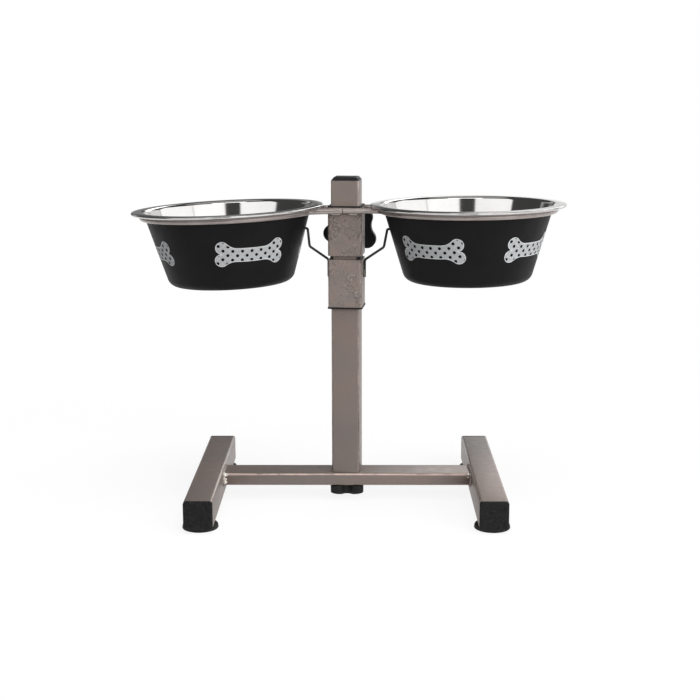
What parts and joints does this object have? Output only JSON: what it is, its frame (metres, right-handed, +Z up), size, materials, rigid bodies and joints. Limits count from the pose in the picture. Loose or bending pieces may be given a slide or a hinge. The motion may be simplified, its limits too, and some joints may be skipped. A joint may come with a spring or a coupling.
{
  "type": "dog feeder stand",
  "caption": "Raised double dog feeder: an H-shaped square-tube base and post, a height clamp with wire rings, a bowl-lock collar and lift-out steel bowls.",
  "frame": {"origin": "on the floor, under the middle of the post", "axes": "+X to the right along the crossbar, +Y to the rear along the feet, +Z up"},
  "size_m": [0.3838, 0.216, 0.2929],
  "materials": {
    "frame_paint": "satin taupe-bronze powder coat with a fine grain",
    "wire_black": "black painted steel wire",
    "black_plastic": "moulded black plastic, half matt",
    "black_rubber": "matt black rubber",
    "plated_steel": "zinc-plated steel",
    "bowl_steel": "stainless steel, polished inside, black enamel with silver bone prints outside"
  },
  "bodies": {
    "base": {"left_foot_tube": "frame_paint", "right_foot_tube": "frame_paint", "crossbar": "frame_paint", "left_crossbar_weld": "frame_paint", "right_crossbar_weld": "frame_paint", "left_front_foot_cap": "black_plastic", "left_rear_foot_cap": "black_plastic", "right_front_foot_cap": "black_plastic", "right_rear_foot_cap": "black_plastic", "left_front_foot_pad": "black_rubber", "left_rear_foot_pad": "black_rubber", "right_front_foot_pad": "black_rubber", "right_rear_foot_pad": "black_rubber"},
    "base_screw": {"base_stud": "plated_steel"},
    "base_knob": {"base_knob": "black_plastic"},
    "post": {"post_tube": "frame_paint", "post_top_cap": "black_plastic", "post_base_nut": "plated_steel"},
    "carrier": {"ring_sleeve": "frame_paint", "sleeve_glide": "black_plastic", "clamp_nut": "frame_paint", "left_bowl_ring": "frame_paint", "right_bowl_ring": "frame_paint", "ring_weld_beads": "frame_paint"},
    "clamp_screw": {"clamp_stud": "plated_steel"},
    "clamp_knob": {"clamp_knob": "black_plastic"},
    "lock_carriage": {"lock_collar": "frame_paint", "collar_glide": "black_plastic", "left_lock_wire": "wire_black", "right_lock_wire": "wire_black", "lock_weld_beads": "frame_paint"},
    "left_bowl": {"left_bowl": "bowl_steel"},
    "right_bowl": {"right_bowl": "bowl_steel"}
  },
  "joints": [
    {"name": "base_screw_travel", "type": "slide", "parent": "base", "child": "base_screw", "axis": [0, 0, -1], "range_m": [0, 0.0038]},
    {"name": "base_knob_turn", "type": "hinge", "parent": "base_screw", "child": "base_knob", "pos_m": [0, 0, 0.01], "axis": [0, 0, -1], "range_deg": [0, 1080]},
    {"name": "post_swivel", "type": "hinge", "parent": "base", "child": "post", "pos_m": [0, 0, 0.03], "axis": [0, 0, 1], "continuous": true},
    {"name": "height_slide", "type": "slide", "parent": "post", "child": "carrier", "axis": [0, 0, 1], "range_m": [-0.125, 0.022]},
    {"name": "clamp_screw_travel", "type": "slide", "parent": "carrier", "child": "clamp_screw", "axis": [0.1045, 0.9945, 0], "range_m": [0, 0.0051]},
    {"name": "clamp_knob_turn", "type": "hinge", "parent": "clamp_screw", "child": "clamp_knob", "pos_m": [0.00418, 0.03978, 0.2417], "axis": [0.1045, 0.9945, 0], "range_deg": [0, 1440]},
    {"name": "lock_slide", "type": "slide", "parent": "carrier", "child": "lock_carriage", "axis": [0, 0, 1], "range_m": [-0.022, 0]},
    {"name": "left_bowl_lift", "type": "slide", "parent": "carrier", "child": "left_bowl", "axis": [-0.0416, 0.0044, 0.9991], "range_m": [0, 0.09]},
    {"name": "right_bowl_lift", "type": "slide", "parent": "carrier", "child": "right_bowl", "axis": [-0.0087, 0.0009, 1], "range_m": [0, 0.09]}
  ],
  "couplings": [
    {"joint": "base_screw_travel", "follows": "base_knob_turn", "m_per_rad": 0.00019894},
    {"joint": "clamp_screw_travel", "follows": "clamp_knob_turn", "m_per_rad": 0.00019894}
  ]
}
